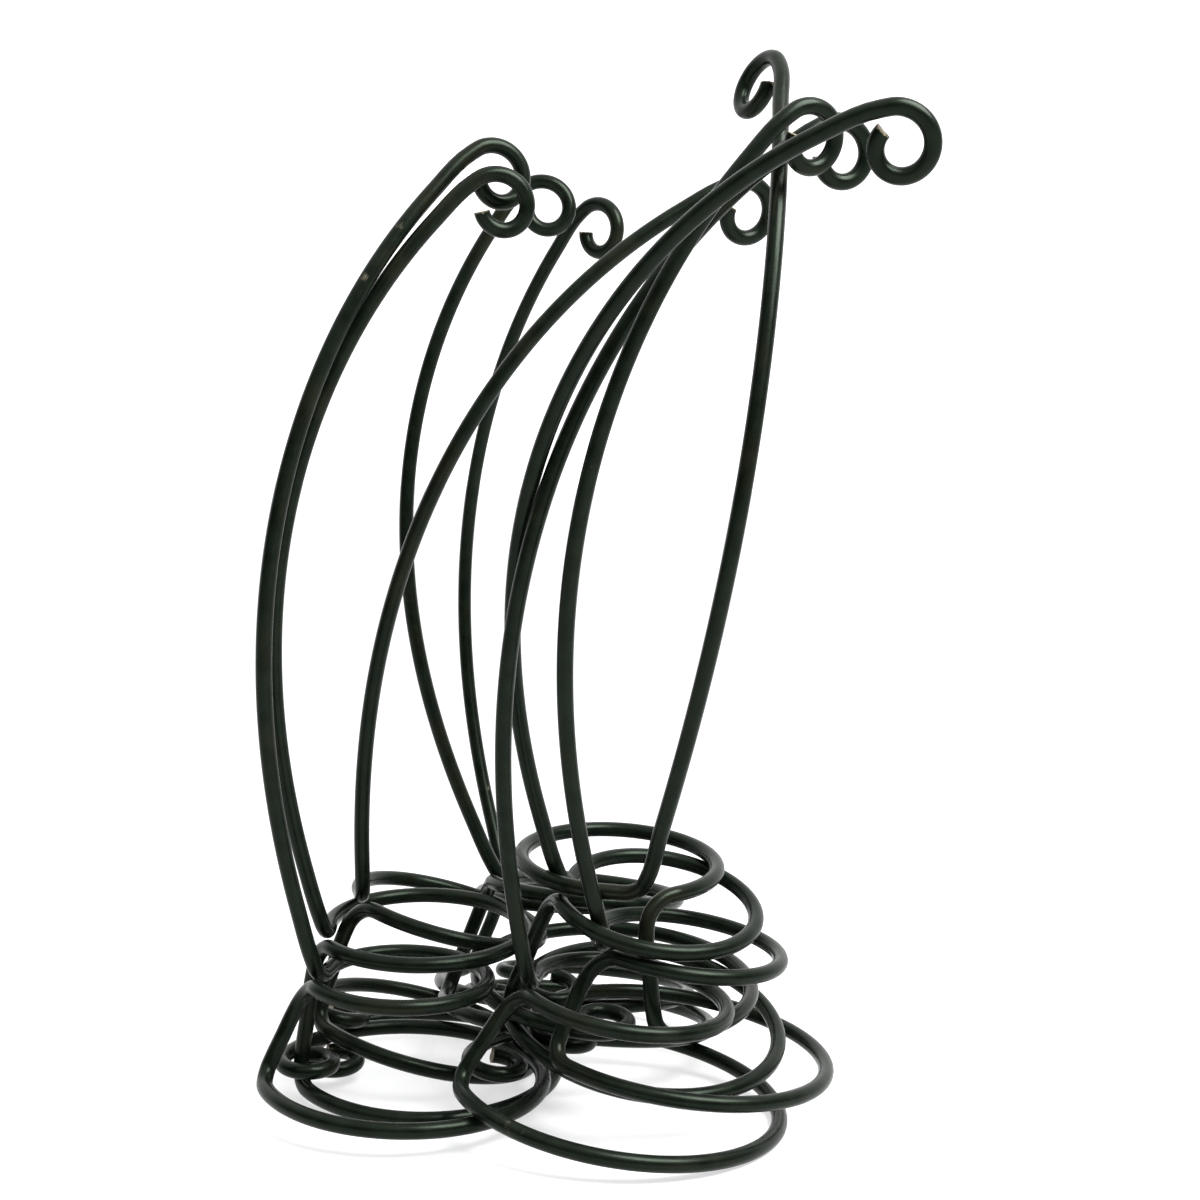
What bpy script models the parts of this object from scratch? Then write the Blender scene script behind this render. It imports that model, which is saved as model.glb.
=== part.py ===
"""A pile of nine bent-wire hook stands, each one rod of round steel.

Every stand runs, from its first cut end to its last: a small scroll, the base
ring, an upright leg, the smaller upper ring, a sharp bend at the foot of the
stem, the long bowed stem, and the hook that a mug hangs from.

Each stand is bent on its own axis and set down in its place in the pile.
settle() then eases the wires clear of each other, so a changed size moves the
stands apart and never runs one wire through another, and seat() stands the
pile on the three points that it would come to rest on.

Units are metres and degrees. +Z is up and the pile stands on z = 0.
"""

import math
from dataclasses import dataclass

import bmesh
import bpy
import numpy as np

MM = 0.001

# The rod, and the gap left between any two of them.
WIRE = 5.2 * MM
CLEARANCE = 0.11 * MM

# Sizes that all nine stands share.
BASE_RADIUS = 48.0 * MM
BASE_SPIRAL = 3.5 * MM
BASE_START = 10.0
BASE_END = 333.0
SCROLL_RADIUS = 8.0 * MM
SCROLL_OPENING = 1.2
SCROLL_TURN = 298.0
LEG_HEIGHT = 39.0 * MM
LEG_BOTTOM_BEND = 7.5 * MM
LEG_TOP_BEND = 12.0 * MM
UPPER_RADIUS = 34.0 * MM
UPPER_SPIRAL = 4.5 * MM
UPPER_START = 18.5
UPPER_END = 340.0
UPPER_SHIFT = 2.0 * MM
FOOT_REACH = 9.0 * MM
FOOT_BEND = 7.5 * MM
STEM_LENGTH = 280.0 * MM
STEM_CURL = 1.3
HOOK_RADIUS = 12.0 * MM
HOOK_TIP_RADIUS = 7.5 * MM
HOOK_CLOSING = 1.6

# How finely the rod is cut into straight lengths, and its section.
SIDES = 12
RING_STEPS = 29
SCROLL_STEPS = 11
STEM_STEPS = 15
HOOK_STEPS = 14
BEND_STEPS = 5

# The reach of a stand from its middle, for how it turns when it is pushed.
SWING = 100.0 * MM
SETTLE_ROUNDS = 400
LOOK_AGAIN = 20
SAMPLE = 2.0 * MM

COATING = (0.012, 0.014, 0.013, 1.0)
COATING_ROUGHNESS = 0.38
COATING_METALLIC = 0.0

UP = np.array([0.0, 0.0, 1.0])


@dataclass(frozen=True)
class Stand:
    """One hook stand: its place in the pile, and how it differs from its fellows.

    Lengths are in millimetres and angles in degrees. place is the middle of the
    base ring, turn is about Z, and lean is about X and then about Y. base, leg,
    upper and stem are what the hand bending added to the shared sizes.
    """

    name: str
    place: tuple[float, float, float]
    turn: float
    lean: tuple[float, float]
    base: float
    leg: float
    upper: float
    lean_out: float
    lean_over: float
    stem: float
    stem_turn: float
    hook_turn: float
    sway: float


STANDS = (
    Stand("wire_stand_1", (-50.5, -52.5, 5.5), 206, (3.6, -1.2), -2.5, 9.3, 2.3, 17, 48, -18.5, -10, 303, 2.5),
    Stand("wire_stand_2", (-55.7, -77.5, 10.7), 193.5, (1.0, -0.2), -1, -6.4, -4, 18, 48, 4.5, 12, 324, 4.5),
    Stand("wire_stand_3", (-55.0, -35.0, 11.5), 217.5, (-2.6, 12.8), -5.5, 4, 2, 18, 48.5, 2.5, -9.5, 323, -10.5),
    Stand("wire_stand_4", (-5.0, 16.5, 13.0), 144.5, (-9.0, -0.2), 0, -6, 0, 24, 52, -2, -5, 318, -7.5),
    Stand("wire_stand_5", (0.5, -19.0, 15.0), 178, (-8.6, 3.0), 1, 4.5, 1, 31.5, 32, -20.5, 3, 318.5, -2.5),
    Stand("wire_stand_6", (14.5, -85.5, 12.0), 196.5, (1.5, 5.5), 6.5, -7, 1, 19.5, 49, 18, 3.5, 306.5, -3.5),
    Stand("wire_stand_7", (33.0, -71.5, 23.5), 218.5, (0.2, 5.4), 3.5, -5, 0, 25.5, 37, -5.5, -7, 336.5, -9.5),
    Stand("wire_stand_8", (22.5, -63.0, 29.5), 187, (13.0, 5.9), -1, 4, 0.5, 25.5, 62, 11.5, -11.5, 336, -4),
    Stand("wire_stand_9", (11.0, -51.0, 38.0), -70.5, (4.9, 0.3), 0.5, 4.5, 1, 22.5, 48, 3, 6.5, 327.5, -19.5),
)


def unit(vector):
    """The vector brought to length one."""
    return vector / np.linalg.norm(vector)


def rotation(axis, degrees):
    """A turn about a unit axis, as a 3 x 3 matrix."""
    angle = math.radians(degrees)
    x, y, z = axis
    cross = np.array([[0, -z, y], [z, 0, -x], [-y, x, 0]])
    return np.eye(3) + math.sin(angle) * cross + (1 - math.cos(angle)) * cross @ cross


def bend(before, corner, after, radius):
    """Points along the arc that rounds one corner."""
    into = unit(before - corner)
    out = unit(after - corner)
    half = math.acos(float(np.clip(into @ out, -1, 1))) / 2
    centre = corner + unit(into + out) * radius / math.sin(half)
    first = corner + into * radius / math.tan(half) - centre
    last = corner + out * radius / math.tan(half) - centre
    sweep = math.pi - 2 * half
    points = []
    for part in np.linspace(0, 1, BEND_STEPS):
        blend = math.sin((1 - part) * sweep) * first + math.sin(part * sweep) * last
        points.append(centre + blend / math.sin(sweep))
    return points


def ring(radius, spiral, start, end, shift, height):
    """A level ring that closes in by spiral as it goes round."""
    angles = np.radians(np.linspace(start, end, RING_STEPS))
    reach = radius - spiral * np.linspace(0, 1, RING_STEPS)
    level = np.full_like(angles, height)
    return np.stack([reach * np.cos(angles) + shift[0], reach * np.sin(angles) + shift[1], level], axis=1)


def scroll(ring_points):
    """The curl that carries on from the end of the base ring, turning inward."""
    step = math.radians(SCROLL_TURN) / SCROLL_STEPS
    along = ring_points[-1] - ring_points[-2]
    heading = math.atan2(along[1], along[0]) + math.radians(BASE_END - BASE_START) / (RING_STEPS - 1) / 2
    point = ring_points[-1]
    points = []
    for index in range(SCROLL_STEPS):
        opening = max(0.0, 0.35 - (index + 0.5) / SCROLL_STEPS)
        radius = SCROLL_RADIUS * (1 + SCROLL_OPENING * opening)
        middle = heading + step / 2
        point = point + 2 * radius * math.sin(step / 2) * np.array([math.cos(middle), math.sin(middle), 0])
        heading += step
        points.append(point)
    return points


def stem_and_hook(start, stand):
    """The bowed stem from the end of its foot, and the hook that it runs into."""
    facing = math.radians(180 + stand.stem_turn)
    ahead = np.array([math.cos(facing), math.sin(facing), 0])
    aside = np.array([-ahead[1], ahead[0], 0])
    first = -math.radians(stand.lean_out)
    last = math.radians(stand.lean_over)
    length = (STEM_LENGTH + stand.stem * MM) / STEM_STEPS
    point = start
    points = []
    for index in range(STEM_STEPS):
        part = (index + 0.5) / STEM_STEPS
        angle = first + (last - first) * part**STEM_CURL
        sway = math.radians(stand.sway) * part
        upright = UP * math.cos(angle) + ahead * math.sin(angle)
        point = point + length * (upright * math.cos(sway) + aside * math.sin(sway))
        points.append(point)
    sway = math.radians(stand.sway)
    rise = UP * math.cos(sway) + aside * math.sin(sway)
    step = math.radians(stand.hook_turn) / HOOK_STEPS
    angle = last
    for index in range(HOOK_STEPS):
        part = min(1.0, HOOK_CLOSING * (index + 0.5) / HOOK_STEPS)
        radius = HOOK_RADIUS + (HOOK_TIP_RADIUS - HOOK_RADIUS) * part
        middle = angle + step / 2
        point = point + 2 * radius * math.sin(step / 2) * unit(rise * math.cos(middle) + ahead * math.sin(middle))
        angle += step
        points.append(point)
    return points


def bent_rod(stand):
    """The centre line of one stand on its own axis, from scroll to hook."""
    base_radius = BASE_RADIUS + stand.base * MM
    upper_radius = UPPER_RADIUS + stand.upper * MM
    height = LEG_HEIGHT + stand.leg * MM
    shift = (UPPER_SHIFT, -UPPER_SHIFT)
    base = ring(base_radius, BASE_SPIRAL, BASE_START, BASE_END, (0, 0), 0)
    upper = ring(upper_radius, UPPER_SPIRAL, UPPER_START, UPPER_END, shift, height)

    along = np.array([0, 1.0 * MM, 0])
    leg_foot = np.array([base_radius, 0, 0])
    leg_head = np.array([upper_radius + shift[0], shift[1], height])
    low = bend(base[0] + 4 * along, leg_foot - 2 * along, leg_head - 2 * along, LEG_BOTTOM_BEND)
    high = bend(leg_foot - 2 * along, leg_head - 3 * along, upper[0] + 4 * along, LEG_TOP_BEND)

    facing = math.radians(180 + stand.stem_turn)
    ahead = np.array([math.cos(facing), math.sin(facing), 0])
    out = math.radians(stand.lean_out)
    heading = unit(upper[-1] - upper[-2])
    corner = upper[-1] + heading * FOOT_REACH
    rising = UP * math.cos(out) - ahead * math.sin(out)
    foot = bend(upper[-1], corner, corner + rising * STEM_LENGTH, FOOT_BEND)

    run = [*scroll(base)[::-1], *base[::-1], *low, (low[-1] + high[0]) / 2, *high, *upper, *foot]
    run += stem_and_hook(foot[-1], stand)
    points = [run[0]]
    for point in run[1:]:
        if np.linalg.norm(point - points[-1]) > WIRE / 10:
            points.append(point)
    return np.array(points)


def set_down(stand):
    """The turn and the position of a stand as it was laid in the pile."""
    lean_x = rotation((1, 0, 0), stand.lean[0])
    lean_y = rotation((0, 1, 0), stand.lean[1])
    return lean_x @ lean_y @ rotation((0, 0, 1), stand.turn), np.array(stand.place) * MM


def sampled(points):
    """Evenly spaced points along a centre line, and the direction at each."""
    legs = np.diff(points, axis=0)
    lengths = np.linalg.norm(legs, axis=1)
    travelled = np.concatenate([[0], np.cumsum(lengths)])
    count = int(travelled[-1] / SAMPLE)
    at = (np.arange(count) + 0.5) * travelled[-1] / count
    leg = np.searchsorted(travelled, at, side="right") - 1
    ways = legs[leg] / lengths[leg][:, None]
    return points[leg] + ways * (at - travelled[leg])[:, None], ways


def at_pose(line, pose):
    """A sampled centre line, moved to where its stand lies."""
    return line[0] @ pose[0].T + pose[1], line[1] @ pose[0].T


def near_pairs(first, second):
    """The samples of two wires that lie close enough to be worth measuring."""
    apart = first[0][:, None] - second[0][None]
    return np.nonzero(np.einsum("ijk,ijk->ij", apart, apart) < (4 * WIRE) ** 2)


def nearest_approach(first, second, pairs):
    """The shortest way between two wires: its length, its direction and its middle."""
    rows, columns = pairs
    here, u = first[0][rows], first[1][rows]
    there, v = second[0][columns], second[1][columns]
    apart = here - there
    lean = np.einsum("ij,ij->i", u, v)
    along_u = np.einsum("ij,ij->i", u, apart)
    along_v = np.einsum("ij,ij->i", v, apart)
    flat = np.maximum(1 - lean**2, 1e-6)
    s = np.clip((lean * along_v - along_u) / flat, -SAMPLE / 2, SAMPLE / 2)
    t = np.clip((along_v - lean * along_u) / flat, -SAMPLE / 2, SAMPLE / 2)
    apart = apart + u * s[:, None] - v * t[:, None]
    lengths = np.linalg.norm(apart, axis=1)
    best = int(np.argmin(lengths))
    point = here[best] + u[best] * s[best] - apart[best] / 2
    return lengths[best], apart[best] / max(lengths[best], 1e-9), point


def pushed(pose, middle, point, push):
    """A pose after a push at a point: partly moved along it, partly turned by it."""
    turn, position = pose
    arm = np.cross(point - middle, push) / SWING**2
    angle = float(np.linalg.norm(arm))
    extra = rotation(arm / angle, math.degrees(angle)) if angle > 1e-12 else np.eye(3)
    return extra @ turn, middle + extra @ (position - middle) + push


def give(middle, point, way):
    """How readily a stand moves at a point when it is pushed along a way there."""
    arm = np.cross(point - middle, way)
    return 1 + float(arm @ arm) / SWING**2


def settle(rods):
    """Ease the stands apart until no two wires are nearer than the gap.

    Args:
        rods: the centre line of every stand on its own axis.

    Returns:
        The turn and position of every stand in the pile.
    """
    gap = WIRE / math.cos(math.pi / SIDES) + CLEARANCE
    poses = [set_down(stand) for stand in STANDS]
    lines = [sampled(rod) for rod in rods]
    for turn_of_work in range(SETTLE_ROUNDS):
        worst = 0.0
        if turn_of_work % LOOK_AGAIN == 0:
            placed = [at_pose(line, pose) for line, pose in zip(lines, poses)]
            close = {(i, j): near_pairs(placed[i], placed[j]) for i in range(len(poses)) for j in range(i)}
        for (i, j), pairs in close.items():
            if not len(pairs[0]):
                continue
            one, two = at_pose(lines[i], poses[i]), at_pose(lines[j], poses[j])
            distance, way, point = nearest_approach(one, two, pairs)
            if distance >= gap:
                continue
            worst = max(worst, gap - distance)
            middles = (one[0].mean(axis=0), two[0].mean(axis=0))
            ease = (gap - distance + CLEARANCE / 10) / sum(give(middle, point, way) for middle in middles)
            poses[i] = pushed(poses[i], middles[0], point, way * ease)
            poses[j] = pushed(poses[j], middles[1], point, -way * ease)
        if worst == 0.0:
            break
    print(f"settled, least gap missed by {worst / MM:.3f} mm")
    return poses


def swept(line):
    """The corners of the rod along a centre line, section by section.

    The flats of the section lie one wire thickness apart, and one of them faces
    straight down on a level ring.
    """
    ways = np.array([unit(way) for way in np.diff(line, axis=0)])
    tangents = np.array([ways[0], *[unit(a + b) for a, b in zip(ways, ways[1:])], ways[-1]])
    normal = UP
    radius = WIRE / 2 / math.cos(math.pi / SIDES)
    angles = (np.arange(SIDES) + 0.5) * 2 * math.pi / SIDES
    sections = []
    for point, tangent in zip(line, tangents):
        normal = unit(normal - tangent * (normal @ tangent))
        side = np.cross(tangent, normal)
        sections.append(point + radius * (np.outer(np.cos(angles), normal) + np.outer(np.sin(angles), side)))
    return np.array(sections)


def seat(corners):
    """The turn and shift that stand the pile on the face it would rest on.

    Args:
        corners: the corner points of all the rods in the pile.

    Returns:
        A 3 x 3 turn and a shift that put the resting face on z = 0 and the
        middle of the pile's bounding box over the origin.
    """
    middle = corners.mean(axis=0)
    hull = bmesh.new()
    for corner in corners:
        hull.verts.new(corner)
    bmesh.ops.convex_hull(hull, input=hull.verts)
    bmesh.ops.triangulate(hull, faces=hull.faces)
    down = np.array([0, 0, -1.0])
    turn = np.eye(3)
    for face in hull.faces:
        a, b, c = (np.array(vertex.co) for vertex in face.verts)
        normal = np.cross(b - a, c - a)
        if np.linalg.norm(normal) < 1e-12 or normal @ (a - middle) == 0:
            continue
        normal = unit(normal) * np.sign(normal @ (a - middle))
        if normal[2] > -1e-6:
            continue
        plan = np.array([[*point[:2], 1] for point in (a, b, c)]).T
        if np.linalg.solve(plan, [*middle[:2], 1]).min() >= 0:
            axis = np.cross(normal, down)
            angle = math.degrees(math.asin(min(1.0, float(np.linalg.norm(axis)))))
            turn = rotation(unit(axis), angle) if angle > 1e-6 else np.eye(3)
    hull.free()
    turned = corners @ turn.T
    low, high = turned.min(axis=0), turned.max(axis=0)
    return turn, -np.array([(low[0] + high[0]) / 2, (low[1] + high[1]) / 2, low[2]])


def coating():
    """The satin black coat on every rod."""
    material = bpy.data.materials.new("black_coat")
    material.use_nodes = True
    shader = material.node_tree.nodes["Principled BSDF"]
    shader.inputs["Base Color"].default_value = COATING
    shader.inputs["Roughness"].default_value = COATING_ROUGHNESS
    shader.inputs["Metallic"].default_value = COATING_METALLIC
    material.diffuse_color = COATING
    return material


def add_rod(name, sections, origin, material):
    """Close the swept sections into one solid and put it in the scene."""
    body = bmesh.new()
    rings = [[body.verts.new(corner - origin) for corner in section] for section in sections]
    for one, two in zip(rings, rings[1:]):
        for side in range(SIDES):
            after = (side + 1) % SIDES
            body.faces.new((one[side], one[after], two[after], two[side])).smooth = True
    body.faces.new(rings[0][::-1])
    body.faces.new(rings[-1])
    bmesh.ops.recalc_face_normals(body, faces=body.faces)
    mesh = bpy.data.meshes.new(name)
    body.to_mesh(mesh)
    body.free()
    mesh.materials.append(material)
    rod = bpy.data.objects.new(name, mesh)
    rod.location = origin
    bpy.context.scene.collection.objects.link(rod)
    return rod


def main():
    for leftover in list(bpy.data.objects):
        bpy.data.objects.remove(leftover)
    rods = [bent_rod(stand) for stand in STANDS]
    poses = settle(rods)
    solids = [swept(rod) @ turn.T + position for rod, (turn, position) in zip(rods, poses)]
    turn, shift = seat(np.concatenate([solid.reshape(-1, 3) for solid in solids]))
    material = coating()
    for stand, solid, pose in zip(STANDS, solids, poses):
        add_rod(stand.name, solid @ turn.T + shift, turn @ pose[1] + shift, material)


main()
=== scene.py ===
"""Nine satin black wire hook stands, tangled into one pile on a pale table.

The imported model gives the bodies, and this script gives them their looks. Each
rod is bent along the same centre line as its solid, swept at full roundness,
sheared at both ends, and coated.

Units are metres and degrees. +Z is up.
"""

from __future__ import annotations

import logging
import math
from dataclasses import dataclass, field
from enum import Enum

import bmesh
import bpy
import numpy as np
from mathutils import Matrix, Vector, noise

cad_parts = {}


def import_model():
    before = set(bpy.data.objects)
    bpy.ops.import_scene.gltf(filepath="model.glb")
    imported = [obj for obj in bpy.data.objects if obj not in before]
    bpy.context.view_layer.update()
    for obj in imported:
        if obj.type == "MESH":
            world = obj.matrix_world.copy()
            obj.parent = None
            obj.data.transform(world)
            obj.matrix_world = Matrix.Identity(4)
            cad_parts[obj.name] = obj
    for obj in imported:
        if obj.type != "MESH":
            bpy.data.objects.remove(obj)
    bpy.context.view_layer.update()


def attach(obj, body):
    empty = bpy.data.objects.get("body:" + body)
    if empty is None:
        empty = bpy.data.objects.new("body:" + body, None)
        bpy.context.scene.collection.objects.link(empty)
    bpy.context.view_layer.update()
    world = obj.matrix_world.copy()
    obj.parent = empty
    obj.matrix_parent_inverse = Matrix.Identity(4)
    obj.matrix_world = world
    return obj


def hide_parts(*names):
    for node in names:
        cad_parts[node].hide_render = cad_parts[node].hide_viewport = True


LOG = logging.getLogger("wire_stands")
MM = 0.001
UP = np.array([0.0, 0.0, 1.0])

# How finely the solid rods are cut, which settles where the pile comes to rest.
SIDES = 12
RING_STEPS = 29
SCROLL_STEPS = 11
STEM_STEPS = 15
HOOK_STEPS = 14
BEND_STEPS = 5
SWING = 100.0 * MM
SETTLE_ROUNDS = 400
LOOK_AGAIN = 20
SAMPLE = 2.0 * MM


class Slot(Enum):
    """The record's material slots."""

    COAT = "black_coat"


class WireMap(Enum):
    """The attribute that lays a pattern along the rod."""

    LAY = "lay_along_wire"


@dataclass(frozen=True)
class RodSizes:
    """The sizes that all nine stands share.

    Lengths are in metres and angles in degrees.
    """

    wire: float = 5.2 * MM
    clearance: float = 0.11 * MM
    base_radius: float = 48.0 * MM
    base_spiral: float = 3.5 * MM
    base_start: float = 10.0
    base_end: float = 333.0
    scroll_radius: float = 8.0 * MM
    scroll_opening: float = 1.2
    scroll_easing: float = 0.35
    scroll_turn: float = 298.0
    leg_height: float = 39.0 * MM
    leg_bottom_bend: float = 7.5 * MM
    leg_top_bend: float = 12.0 * MM
    upper_radius: float = 34.0 * MM
    upper_spiral: float = 4.5 * MM
    upper_start: float = 18.5
    upper_end: float = 340.0
    upper_shift: float = 2.0 * MM
    foot_reach: float = 9.0 * MM
    foot_bend: float = 7.5 * MM
    stem_length: float = 280.0 * MM
    stem_curl: float = 1.3
    hook_radius: float = 12.0 * MM
    hook_tip_radius: float = 7.5 * MM
    hook_closing: float = 1.6

    def round_radius(self) -> float:
        """The radius of the full round rod, between the flats and the corners of its solid."""
        return self.wire / 2 + self.clearance / 6


@dataclass(frozen=True)
class Stand:
    """One hook stand: its place in the pile, and how it differs from its fellows.

    Lengths are in millimetres and angles in degrees. place is the middle of the
    base ring, turn is about Z, and lean is about X and then about Y. base, leg,
    upper and stem are what the hand bending added to the shared sizes.
    """

    node: str
    body: str
    place: tuple[float, float, float]
    turn: float
    lean: tuple[float, float]
    base: float
    leg: float
    upper: float
    lean_out: float
    lean_over: float
    stem: float
    stem_turn: float
    hook_turn: float
    sway: float


def stand(number: int, *sizes: object) -> Stand:
    """A stand by its number, which names both its node and its body."""
    return Stand(f"wire_stand_{number}", f"stand_{number}", *sizes)


STANDS = (
    stand(1, (-50.5, -52.5, 5.5), 206, (3.6, -1.2), -2.5, 9.3, 2.3, 17, 48, -18.5, -10, 303, 2.5),
    stand(2, (-55.7, -77.5, 10.7), 193.5, (1.0, -0.2), -1, -6.4, -4, 18, 48, 4.5, 12, 324, 4.5),
    stand(3, (-55.0, -35.0, 11.5), 217.5, (-2.6, 12.8), -5.5, 4, 2, 18, 48.5, 2.5, -9.5, 323, -10.5),
    stand(4, (-5.0, 16.5, 13.0), 144.5, (-9.0, -0.2), 0, -6, 0, 24, 52, -2, -5, 318, -7.5),
    stand(5, (0.5, -19.0, 15.0), 178, (-8.6, 3.0), 1, 4.5, 1, 31.5, 32, -20.5, 3, 318.5, -2.5),
    stand(6, (14.5, -85.5, 12.0), 196.5, (1.5, 5.5), 6.5, -7, 1, 19.5, 49, 18, 3.5, 306.5, -3.5),
    stand(7, (33.0, -71.5, 23.5), 218.5, (0.2, 5.4), 3.5, -5, 0, 25.5, 37, -5.5, -7, 336.5, -9.5),
    stand(8, (22.5, -63.0, 29.5), 187, (13.0, 5.9), -1, 4, 0.5, 25.5, 62, 11.5, -11.5, 336, -4),
    stand(9, (11.0, -51.0, 38.0), -70.5, (4.9, 0.3), 0.5, 4.5, 1, 22.5, 48, 3, 6.5, 327.5, -19.5),
)


def unit(vector: np.ndarray) -> np.ndarray:
    """The vector brought to length one."""
    return vector / np.linalg.norm(vector)


def rotation(axis: np.ndarray, degrees: float) -> np.ndarray:
    """A turn about a unit axis, as a 3 x 3 matrix."""
    angle = math.radians(degrees)
    x, y, z = axis
    cross = np.array([[0, -z, y], [z, 0, -x], [-y, x, 0]])
    return np.eye(3) + math.sin(angle) * cross + (1 - math.cos(angle)) * cross @ cross


@dataclass
class BentRod:
    """One rod: the centre line of a stand, bent on its own axis."""

    stand: Stand
    sizes: RodSizes = field(default_factory=RodSizes)

    def bend(
        self, before: np.ndarray, corner: np.ndarray, after: np.ndarray, radius: float
    ) -> list[np.ndarray]:
        """Points along the arc that rounds one corner.

        Args:
            before: a point on the way in.
            corner: the sharp corner.
            after: a point on the way out.
            radius: the radius of the arc.

        Returns:
            The points, the first and last of them where the arc meets the legs.
        """
        into = unit(before - corner)
        out = unit(after - corner)
        half = math.acos(float(np.clip(into @ out, -1, 1))) / 2
        centre = corner + unit(into + out) * radius / math.sin(half)
        first = corner + into * radius / math.tan(half) - centre
        last = corner + out * radius / math.tan(half) - centre
        sweep = math.pi - 2 * half
        points = []
        for part in np.linspace(0, 1, BEND_STEPS):
            blend = math.sin((1 - part) * sweep) * first + math.sin(part * sweep) * last
            points.append(centre + blend / math.sin(sweep))
        return points

    def ring(
        self, radius: float, spiral: float, ends: tuple[float, float], shift: float, height: float
    ) -> np.ndarray:
        """A level ring that closes in by spiral as it goes round.

        Args:
            radius: its radius at the start.
            spiral: how much nearer its end is to the middle.
            ends: the angles where it starts and ends.
            shift: how far its middle lies off the leg's side, along X and back along Y.
            height: its height.

        Returns:
            The points, one row each.
        """
        angles = np.radians(np.linspace(*ends, RING_STEPS))
        reach = radius - spiral * np.linspace(0, 1, RING_STEPS)
        level = np.full_like(angles, height)
        return np.stack([reach * np.cos(angles) + shift, reach * np.sin(angles) - shift, level], axis=1)

    def scroll(self, ring_points: np.ndarray) -> list[np.ndarray]:
        """The curl that carries on from the end of the base ring, turning inward."""
        sizes = self.sizes
        step = math.radians(sizes.scroll_turn) / SCROLL_STEPS
        along = ring_points[-1] - ring_points[-2]
        heading = math.atan2(along[1], along[0])
        heading += math.radians(sizes.base_end - sizes.base_start) / (RING_STEPS - 1) / 2
        point = ring_points[-1]
        points = []
        for index in range(SCROLL_STEPS):
            opening = max(0.0, sizes.scroll_easing - (index + 0.5) / SCROLL_STEPS)
            radius = sizes.scroll_radius * (1 + sizes.scroll_opening * opening)
            middle = heading + step / 2
            chord = 2 * radius * math.sin(step / 2)
            point = point + chord * np.array([math.cos(middle), math.sin(middle), 0])
            heading += step
            points.append(point)
        return points

    def stem_and_hook(self, start: np.ndarray) -> list[np.ndarray]:
        """The bowed stem from the end of its foot, and the hook that it runs into."""
        sizes, bent = self.sizes, self.stand
        facing = math.radians(180 + bent.stem_turn)
        ahead = np.array([math.cos(facing), math.sin(facing), 0])
        aside = np.array([-ahead[1], ahead[0], 0])
        first = -math.radians(bent.lean_out)
        last = math.radians(bent.lean_over)
        length = (sizes.stem_length + bent.stem * MM) / STEM_STEPS
        point = start
        points = []
        for index in range(STEM_STEPS):
            part = (index + 0.5) / STEM_STEPS
            angle = first + (last - first) * part**sizes.stem_curl
            sway = math.radians(bent.sway) * part
            upright = UP * math.cos(angle) + ahead * math.sin(angle)
            point = point + length * (upright * math.cos(sway) + aside * math.sin(sway))
            points.append(point)
        sway = math.radians(bent.sway)
        rise = UP * math.cos(sway) + aside * math.sin(sway)
        step = math.radians(bent.hook_turn) / HOOK_STEPS
        angle = last
        for index in range(HOOK_STEPS):
            part = min(1.0, sizes.hook_closing * (index + 0.5) / HOOK_STEPS)
            radius = sizes.hook_radius + (sizes.hook_tip_radius - sizes.hook_radius) * part
            middle = angle + step / 2
            heading = unit(rise * math.cos(middle) + ahead * math.sin(middle))
            point = point + 2 * radius * math.sin(step / 2) * heading
            angle += step
            points.append(point)
        return points

    def centre_line(self) -> np.ndarray:
        """The whole centre line on the stand's own axis, from scroll to hook."""
        sizes, bent = self.sizes, self.stand
        base_radius = sizes.base_radius + bent.base * MM
        upper_radius = sizes.upper_radius + bent.upper * MM
        height = sizes.leg_height + bent.leg * MM
        shift = sizes.upper_shift
        ends = (sizes.base_start, sizes.base_end)
        base = self.ring(base_radius, sizes.base_spiral, ends, 0, 0)
        ends = (sizes.upper_start, sizes.upper_end)
        upper = self.ring(upper_radius, sizes.upper_spiral, ends, shift, height)

        along = np.array([0, 1.0 * MM, 0])
        leg_foot = np.array([base_radius, 0, 0])
        leg_head = np.array([upper_radius + shift, -shift, height])
        low = self.bend(
            base[0] + 4 * along, leg_foot - 2 * along, leg_head - 2 * along, sizes.leg_bottom_bend)
        high = self.bend(
            leg_foot - 2 * along, leg_head - 3 * along, upper[0] + 4 * along, sizes.leg_top_bend)

        facing = math.radians(180 + bent.stem_turn)
        ahead = np.array([math.cos(facing), math.sin(facing), 0])
        out = math.radians(bent.lean_out)
        heading = unit(upper[-1] - upper[-2])
        corner = upper[-1] + heading * sizes.foot_reach
        rising = UP * math.cos(out) - ahead * math.sin(out)
        foot = self.bend(upper[-1], corner, corner + rising * sizes.stem_length, sizes.foot_bend)

        run = [*self.scroll(base)[::-1], *base[::-1], *low, (low[-1] + high[0]) / 2, *high, *upper, *foot]
        run += self.stem_and_hook(foot[-1])
        points = [run[0]]
        for point in run[1:]:
            if np.linalg.norm(point - points[-1]) > sizes.wire / 10:
                points.append(point)
        return np.array(points)

    def set_down(self) -> tuple[np.ndarray, np.ndarray]:
        """The turn and the position of the stand as it was laid in the pile."""
        lean_x = rotation((1, 0, 0), self.stand.lean[0])
        lean_y = rotation((0, 1, 0), self.stand.lean[1])
        return lean_x @ lean_y @ rotation((0, 0, 1), self.stand.turn), np.array(self.stand.place) * MM

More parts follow.
